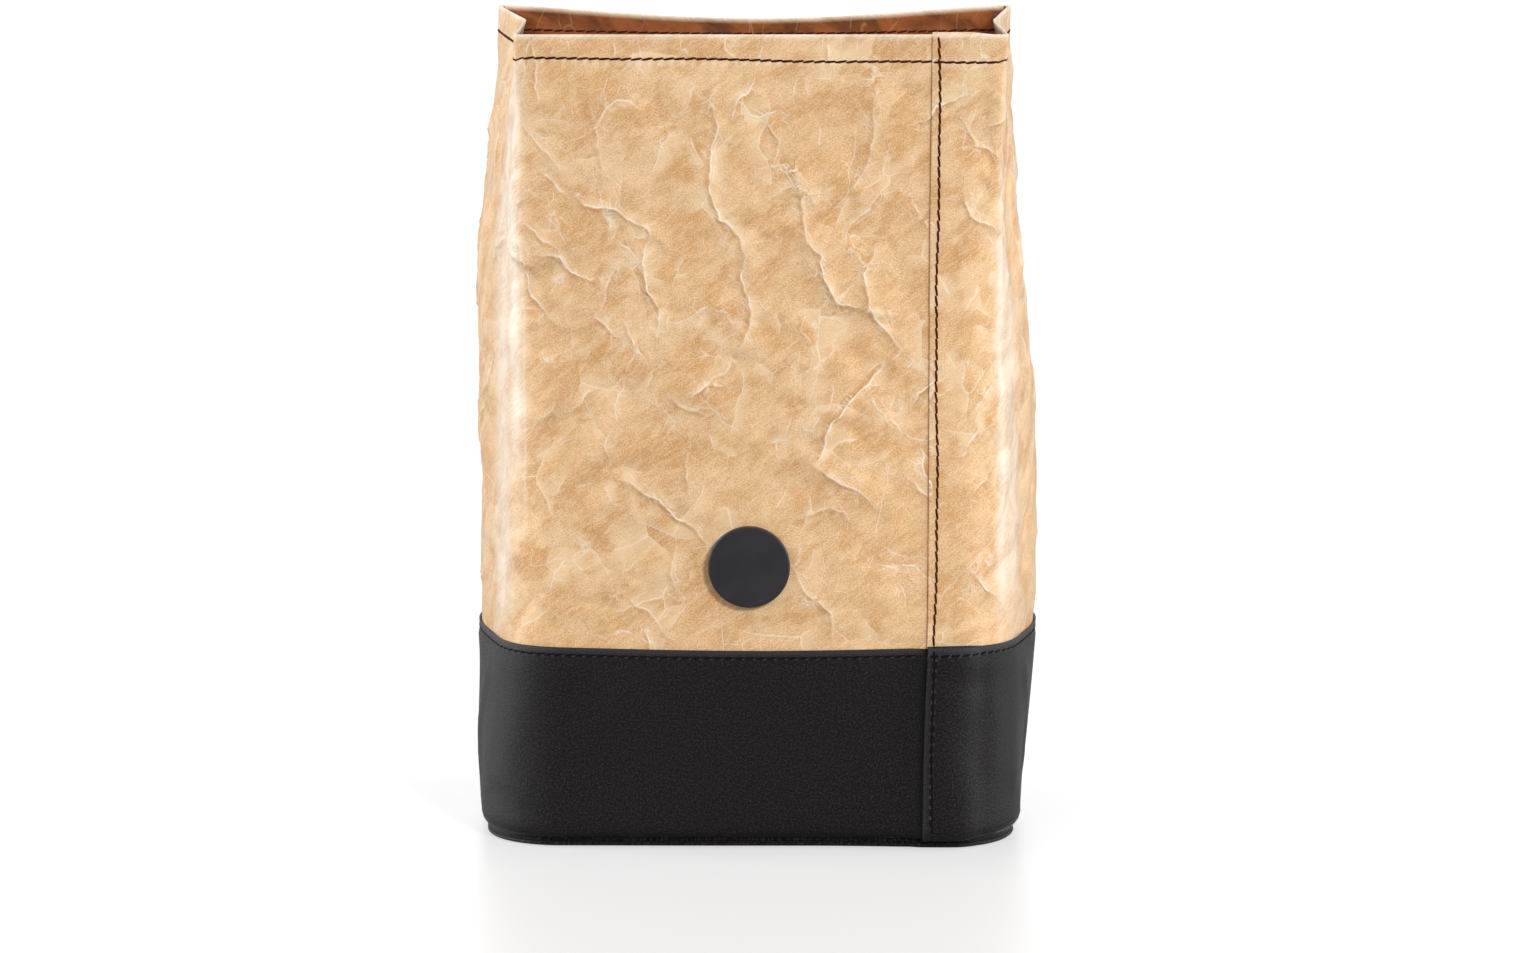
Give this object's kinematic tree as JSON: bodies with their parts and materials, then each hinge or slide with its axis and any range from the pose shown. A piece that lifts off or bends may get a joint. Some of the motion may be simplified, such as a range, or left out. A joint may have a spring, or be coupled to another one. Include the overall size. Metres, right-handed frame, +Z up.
{
  "type": "reusable paper lunch bag",
  "caption": "Open standing lunch bag of crinkled kraft paper with folded side gussets, a turned rim, a lapped side seam, a black cloth base and a round dark button on the front",
  "frame": {"origin": "on the ground under the middle of the bag's box", "axes": "+X to the right of the front, -Y out of the front, +Z up to the rim"},
  "size_m": [0.2105, 0.1393, 0.3013],
  "materials": {
    "kraft_paper": "crinkled washable kraft paper, matt with a faint sheen on the ridges",
    "black_cloth": "fine twill, black, faint sheen",
    "bottom_cloth": "fine twill, black",
    "button_plastic": "satin moulded, dark grey",
    "rivet_metal": "dull nickel"
  },
  "bodies": {
    "root": {"paper_body": "kraft_paper", "base_band": "black_cloth", "bottom_panel": "bottom_cloth", "button_cap": "button_plastic", "button_rivet": "rivet_metal", "button_washer": "rivet_metal"}
  },
  "joints": []
}
